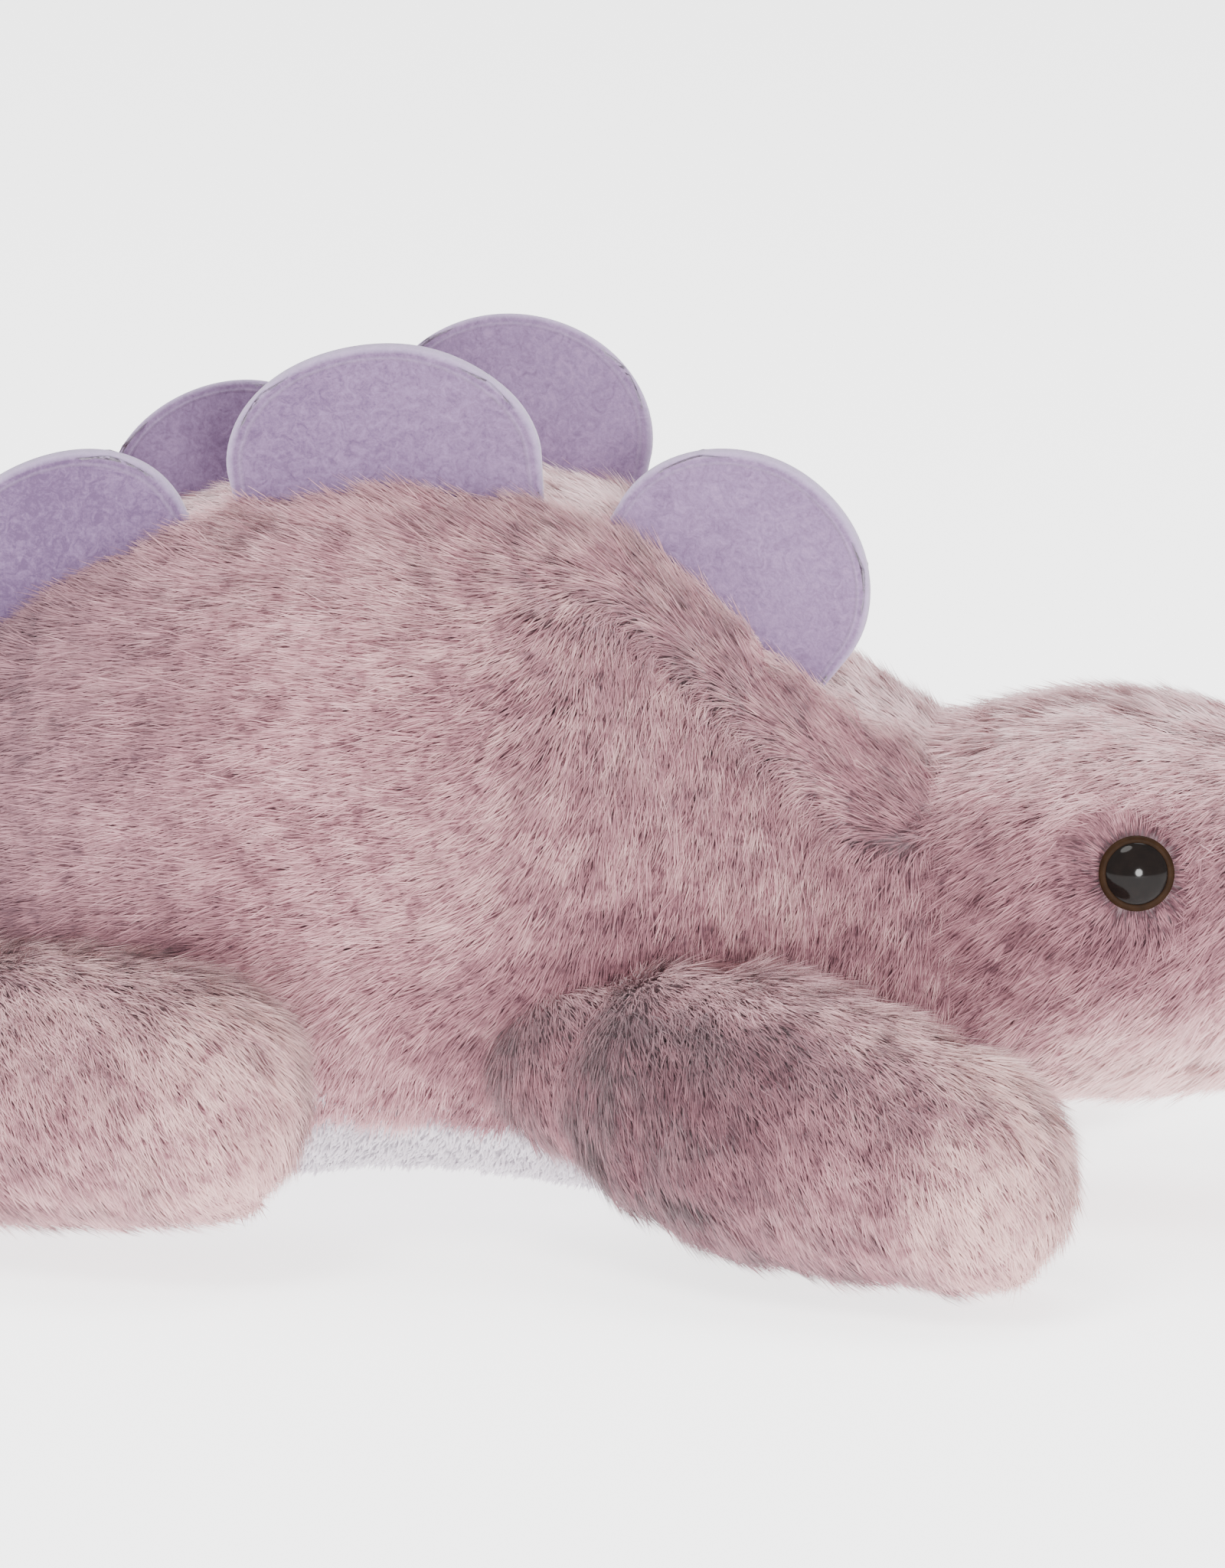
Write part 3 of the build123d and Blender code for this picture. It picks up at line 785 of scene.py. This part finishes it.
def makePlate(name, hinge, tangent, length, height, curl, finish):
    side = math.copysign(1.0, hinge[1])
    along = Vector((tangent[0], 0.0, tangent[1]))
    lean = math.radians(plates["lean"])
    up = (Vector((-tangent[1], 0.0, tangent[0])) * math.cos(lean) + Vector((0.0, side, 0.0)) * math.sin(lean))
    across = along.cross(up) * -side
    columns, rows = plates["cells"]
    form = bmesh.new()
    bmesh.ops.create_grid(form, x_segments=columns, y_segments=rows, size=1.0)
    edgeLayer = form.verts.layers.float.new("edge")
    wide, tall = length / 2, height * plates["tall"]
    middle = height * plates["rise"]
    foot = -plates["reach"]
    for vertex in form.verts:
        a, b = vertex.co.x, vertex.co.y
        # square to disc, with the part below the hinge drawn in to a straight foot
        s = a * math.sqrt(1 - b * b / 2) * wide
        t = b * math.sqrt(1 - a * a / 2) * tall + middle
        reach = math.hypot(s / wide, max(t - middle, 0.0) / tall)
        if t < middle:
            share = (middle - t) / tall
            s = s / max(0.05, math.sqrt(max(0.0, 1 - share * share))) if share < 0.999 else s
            s = max(-wide, min(wide, s)) * (1.0 - 0.03 * share)
            t = middle + (foot - middle) * min(1.0, share)
            reach = abs(s) / wide
        vertex[edgeLayer] = (1.0 - reach) * min(wide, tall)
        bend = curl * ((s / wide) ** 2 - 0.35) + 1.1 * noise.noise(Vector((s * 0.05, t * 0.07, hinge[0])))
        bend += 0.06 * max(0.0, t - 8.0) * curl * 0.4
        fade = ease(t, -1.0, 8.0)
        vertex.co = Vector((s, t, bend * fade))
    bmesh.ops.remove_doubles(form, verts=form.verts, dist=0.02)
    bmesh.ops.dissolve_degenerate(form, dist=0.01, edges=form.edges)
    bmesh.ops.recalc_face_normals(form, faces=form.faces)
    front = list(form.faces)
    raised = bmesh.ops.extrude_face_region(form, geom=front)
    for vertex in (part for part in raised["geom"] if isinstance(part, bmesh.types.BMVert)):
        vertex.co.z += plates["thick"]
    bmesh.ops.recalc_face_normals(form, faces=form.faces)
    sharp = [edge for edge in form.edges if len(edge.link_faces) == 2 and edge.calc_face_angle(0.0) > 1.0]
    bmesh.ops.bevel(form, geom=sharp, offset=0.8, segments=3, affect="EDGES", profile=0.5, material=-1)
    for vertex in form.verts:
        s, t, w = vertex.co
        vertex.co = (Vector(hinge) + along * s + up * t + across * (w - plates["thick"] / 2)) * mm
    bmesh.ops.recalc_face_normals(form, faces=form.faces)
    words = name.split("_")
    piece = toObject(form, "plate" + words[1].capitalize() + words[2], finish)
    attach(piece, name)
    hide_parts(name)


# --- tail spikes ---

spikes = {"length": 17.5, "foot": 4.3, "tip": 1.5, "lean": 48.0, "bury": 3.5,
          "list": {"spike_right_1": (-139.0, -1), "spike_left_1": (-139.0, 1), "spike_right_2": (-151.0, -1),
                   "spike_left_2": (-151.0, 1)}}


def makeSpike(name, x, side, finish):
    low, high, _ = smoothRow(tailTipForm["stations"], x)
    middle, radius = (low + high) / 2, (high - low) / 2
    lean = math.radians(spikes["lean"])
    up = Vector((-0.35, side * math.sin(lean), math.cos(lean))).normalized()
    foot = Vector((x, 0.0, middle)) + up * (radius - spikes["bury"])
    turn = up.to_track_quat("Z", "Y")
    form = bmesh.new()
    bmesh.ops.create_uvsphere(form, u_segments=32, v_segments=24, radius=1.0)
    edgeLayer = form.verts.layers.float.new("edge")
    for vertex in form.verts:
        share = (vertex.co.z + 1.0) / 2.0
        ring = math.hypot(vertex.co.x, vertex.co.y)
        around = math.atan2(vertex.co.y, vertex.co.x)
        wide = spikes["foot"] + (spikes["tip"] - spikes["foot"]) * share ** 1.15
        full = min(1.0, ring * 1.9)
        seam = abs(math.sin(around))
        vertex[edgeLayer] = 0.4 + seam * 4.0
        shape = Vector((math.cos(around) * wide * full * 1.12, math.sin(around) * wide * full * 0.84,
                        share * (spikes["length"] + 1.5)))
        vertex.co = (foot + turn @ shape) * mm
    bmesh.ops.recalc_face_normals(form, faces=form.faces)
    words = name.split("_")
    piece = toObject(form, "spike" + words[1].capitalize() + words[2], finish)
    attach(piece, "tail_tip")
    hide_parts(name)


# --- eyes ---

eyes = {"place": (125.8, 30.2, 57.2), "facing": (0.12, 1.0, 0.12), "radius": 5.1, "dome": 2.8, "ring": 5.5,
        "sunk": 0.6}


def eyeMaterials():
    black, graph, shader = newMaterial("eyeBlack", Roughness=0.09, Specular_IOR_Level=0.12)
    place = graph.objectPlace()
    feed(graph, shader, "Base Color", graph.mix(graph.noise(place, 500.0, 2.0), (0.004, 0.003, 0.003, 1.0),
                                                (0.010, 0.007, 0.006, 1.0)))
    brown, graph, shader = newMaterial("eyeBrown", Roughness=0.45, Specular_IOR_Level=0.03)
    place = graph.objectPlace()
    feed(graph, shader, "Base Color", graph.mix(graph.noise(place, 700.0, 2.0), (0.010, 0.005, 0.003, 1.0),
                                                (0.032, 0.016, 0.008, 1.0)))
    return black, brown


def makeEye(sideName, side, black, brown):
    place = Vector(eyes["place"])
    place.y *= side
    facing = Vector(eyes["facing"])
    facing.y *= side
    facing.normalize()
    turn = facing.to_track_quat("Z", "Y")
    dome = bmesh.new()
    bmesh.ops.create_uvsphere(dome, u_segments=64, v_segments=40, radius=1.0)
    for vertex in dome.verts:
        x, y, z = vertex.co
        shape = Vector((x * eyes["radius"], y * eyes["radius"], z * (eyes["dome"] if z > 0 else 1.6)))
        vertex.co = (place + turn @ shape - facing * eyes["sunk"]) * mm
    pupil = toObject(dome, "eyeDome" + sideName, black)
    rim = bmesh.new()
    circle = bmesh.ops.create_circle(rim, segments=20, radius=0.7)
    for vertex in circle["verts"]:
        vertex.co = Vector((eyes["ring"] - 0.6 + vertex.co.x, 0.0, vertex.co.y * 0.85))
    bmesh.ops.spin(rim, geom=rim.verts[:] + rim.edges[:], cent=(0, 0, 0), axis=(0, 0, 1), angle=2 * math.pi, steps=72,
                   use_duplicate=False)
    bmesh.ops.remove_doubles(rim, verts=rim.verts, dist=1e-4)
    for vertex in rim.verts:
        vertex.co = (place + turn @ vertex.co + facing * 0.1) * mm
    bmesh.ops.recalc_face_normals(rim, faces=rim.faces)
    ring = toObject(rim, "eyeRim" + sideName, brown)
    for piece in (pupil, ring):
        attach(piece, "head")
    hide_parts("eye_" + sideName.lower())


# --- stitching on the snout ---

stitching = {"thread": 0.42, "noseProud": 1.5, "mouthProud": 1.4, "noseHeight": 52.5, "mouthHeight": 41.0}


def threadMaterial():
    material, graph, shader = newMaterial("stitchThread", Roughness=0.55, Sheen_Weight=0.2)
    place = graph.objectPlace()
    twist = graph.noise(place, 1800.0, 2.0, 0.5, 0.6)
    feed(graph, shader, "Base Color", graph.mix(twist, (0.075, 0.030, 0.040, 1.0), (0.170, 0.085, 0.100, 1.0)))
    bumpFrom(graph, shader, twist, 0.4, 0.0003)
    return material


def addStitch(form, start, end, outward, radius):
    # one stitch from start to end, arching outward between its two holes
    start, end, outward = Vector(start), Vector(end), Vector(outward).normalized()
    made = bmesh.ops.create_uvsphere(form, u_segments=8, v_segments=8, radius=1.0)
    line = (end - start)
    sideways = line.cross(outward).normalized()
    for vertex in made["verts"]:
        share = (vertex.co.z + 1.0) / 2.0
        ring = math.hypot(vertex.co.x, vertex.co.y)
        thick = radius * min(1.0, ring * 1.6)
        around = math.atan2(vertex.co.y, vertex.co.x)
        arch = math.sin(math.pi * share) * radius * 1.4
        vertex.co = (start + line * share + outward * (arch + math.sin(around) * thick)
                     + sideways * math.cos(around) * thick) * mm


def snoutSurface(y, z):
    # the x of the head's skin in front of a place
    low, high, half = 32.0, 60.0, 17.0
    for x in (x / 4.0 for x in range(654, 560, -1)):
        low, high, half = smoothRow(headForm["stations"], x)
        cap = 1.0
        if 163.5 - x < headForm["roundEnd"]:
            cap = math.sqrt(max(0.0, 1.0 - (1.0 - (163.5 - x) / headForm["roundEnd"]) ** 2))
        wide = max(0.01, (half - headForm["inset"]) * cap)
        tall = max(0.01, ((high - low) / 2 - headForm["inset"]) * cap)
        if (y / wide) ** 2 + ((z - (low + high) / 2) / tall) ** 2 < 1.0:
            return x
    return 150.0


def makeStitching():
    finish = threadMaterial()
    nose = bmesh.new()
    for side in (-1, 1):
        for step in range(6):
            y = side * (5.0 + step * 0.85)
            z = stitching["noseHeight"] + 0.3 * math.sin(step * 1.3)
            tall = 2.1 * math.sqrt(max(0.1, 1.0 - ((step - 2.5) / 3.3) ** 2))
            low, high = z - tall, z + tall
            ends = [(snoutSurface(y, place) + stitching["noseProud"], y, place) for place in (low, high)]
            addStitch(nose, *ends, (1.0, 0.2 * side, 0.2), stitching["thread"] * 1.1)
    nostrils = toObject(nose, "nostrilStitches", finish)
    mouth = bmesh.new()
    previous = None
    for step in range(15):
        y = -11.2 + 1.6 * step
        z = stitching["mouthHeight"] + 0.018 * y * y
        here = (snoutSurface(y, z) + stitching["mouthProud"], y, z)
        if previous:
            addStitch(mouth, previous, here, (1.0, 0.0, 0.1), stitching["thread"])
        previous = here
    line = toObject(mouth, "mouthStitch", finish)
    for piece, node in ((nostrils, "nostril_stitches"), (line, "mouth_stitch")):
        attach(piece, "head")
        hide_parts(node)


# --- care label ---

label = {"foot": (-74.5, 32.5, 24.0), "width": 12.0, "drop": 15.0, "gap": 0.5, "cells": (16, 60)}


def satinMaterial():
    material, graph, shader = newMaterial("labelSatin", Roughness=0.35, Sheen_Weight=0.1)
    place = graph.objectPlace()
    weave = graph.make("ShaderNodeTexWave", {"bands_direction": "Z"}, {"Vector": place, "Scale": 900.0,
                                                                     "Distortion": 0.4}, out="Fac")
    feed(graph, shader, "Base Color", graph.mix(weave, (0.78, 0.77, 0.76, 1.0), (0.90, 0.89, 0.88, 1.0)))
    bumpFrom(graph, shader, weave, 0.25, 0.0001)
    return material


def makeLabel():
    form = bmesh.new()
    columns, rows = label["cells"]
    bmesh.ops.create_grid(form, x_segments=columns, y_segments=rows, size=1.0)
    outward = Vector((-0.45, 0.89, 0.0)).normalized()
    sideways = Vector((0.89, 0.45, 0.0)).normalized()
    for vertex in form.verts:
        a, b = vertex.co.x * label["width"] / 2, (vertex.co.y + 1.0) * label["drop"]
        # b runs down the first layer and back up the second
        turn = label["drop"] - 0.5 * math.pi * label["gap"]
        if b < turn:
            out, across = b, -label["gap"]
        elif b > 2 * label["drop"] - turn:
            out, across = 2 * label["drop"] - b, label["gap"]
        else:
            angle = (b - turn) / (2 * (label["drop"] - turn)) * math.pi
            out, across = turn + math.sin(angle) * label["gap"], -label["gap"] * math.cos(angle)
        place = Vector(label["foot"]) + outward * out * 0.85 + Vector((0, 0, -1.0)) * (out * 0.45)
        normal = (Vector((0, 0, 1.0)) * 0.85 + outward * 0.45).normalized()
        apart = across * (0.35 + out / label["drop"]) + 0.3 * math.sin(a * 0.5)
        vertex.co = (place + sideways * a + normal * apart) * mm
    bmesh.ops.recalc_face_normals(form, faces=form.faces)
    piece = toObject(form, "careLabel", satinMaterial())
    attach(piece, "torso")
    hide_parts("care_label")


# --- what is inside ---

def insideMaterials():
    fill, graph, shader = newMaterial("fibrefill", Roughness=0.95)
    wisps = graph.noise(graph.objectPlace(), 240.0, 4.0, 0.65, 1.5)
    feed(graph, shader, "Base Color", graph.mix(wisps, (0.78, 0.77, 0.75, 1.0), (0.93, 0.92, 0.90, 1.0)))
    bumpFrom(graph, shader, wisps, 0.7, 0.002)
    cloth, graph, shader = newMaterial("pouchCloth", Roughness=0.9)
    weave = graph.noise(graph.objectPlace(), 1400.0, 2.0)
    feed(graph, shader, "Base Color", graph.mix(weave, (0.60, 0.57, 0.52, 1.0), (0.75, 0.72, 0.68, 1.0)))
    beads, graph, shader = newMaterial("pellets", Roughness=0.35)
    # the paler middle and darker edge of each cell is painted shade on and between the pellets
    cells = graph.make("ShaderNodeTexVoronoi", None, {"Vector": graph.objectPlace(), "Scale": 380.0}, out="Distance")
    feed(graph, shader, "Base Color", graph.mix(cells.clamp(), (0.88, 0.87, 0.85, 1.0), (0.55, 0.54, 0.52, 1.0)))
    bumpFrom(graph, shader, 1.0 - cells, 1.0, 0.002)
    washer, graph, shader = newMaterial("washerPlastic", Roughness=0.4)
    grain = graph.noise(graph.objectPlace(), 300.0, 2.0)
    feed(graph, shader, "Base Color", graph.mix(grain, (0.74, 0.74, 0.73, 1.0), (0.80, 0.80, 0.79, 1.0)))
    return {"stuffing": fill, "pouch": cloth, "pellets": beads, "washer": washer}


def dressInside():
    finishes = insideMaterials()
    for name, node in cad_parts.items():
        for word, finish in finishes.items():
            if word in name:
                node.data.materials.clear()
                node.data.materials.append(finish)


# --- build ---

addCamera()
addStage()
backing = skinMaterial()
furFinish = furMaterial()
felt = feltMaterial()
skins = makeSkins()
print("skins", len(skins))
makeFur(skins)
makeBelly(skins[0]["skin"])
for entry in skins:
    piece = entry["skin"]
    for attribute in ("nap", "trim", "tone", "warm"):
        piece.data.attributes.remove(piece.data.attributes[attribute])
    follow(piece, entry["bodies"])
    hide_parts(*entry["nodes"])
for name, values in plates["list"].items():
    makePlate(name, *values, felt)
for name, (x, side) in spikes["list"].items():
    makeSpike(name, x, side, felt)
print("felt done")
black, brown = eyeMaterials()
makeEye("Right", -1, black, brown)
makeEye("Left", 1, black, brown)
makeStitching()
makeLabel()
dressInside()
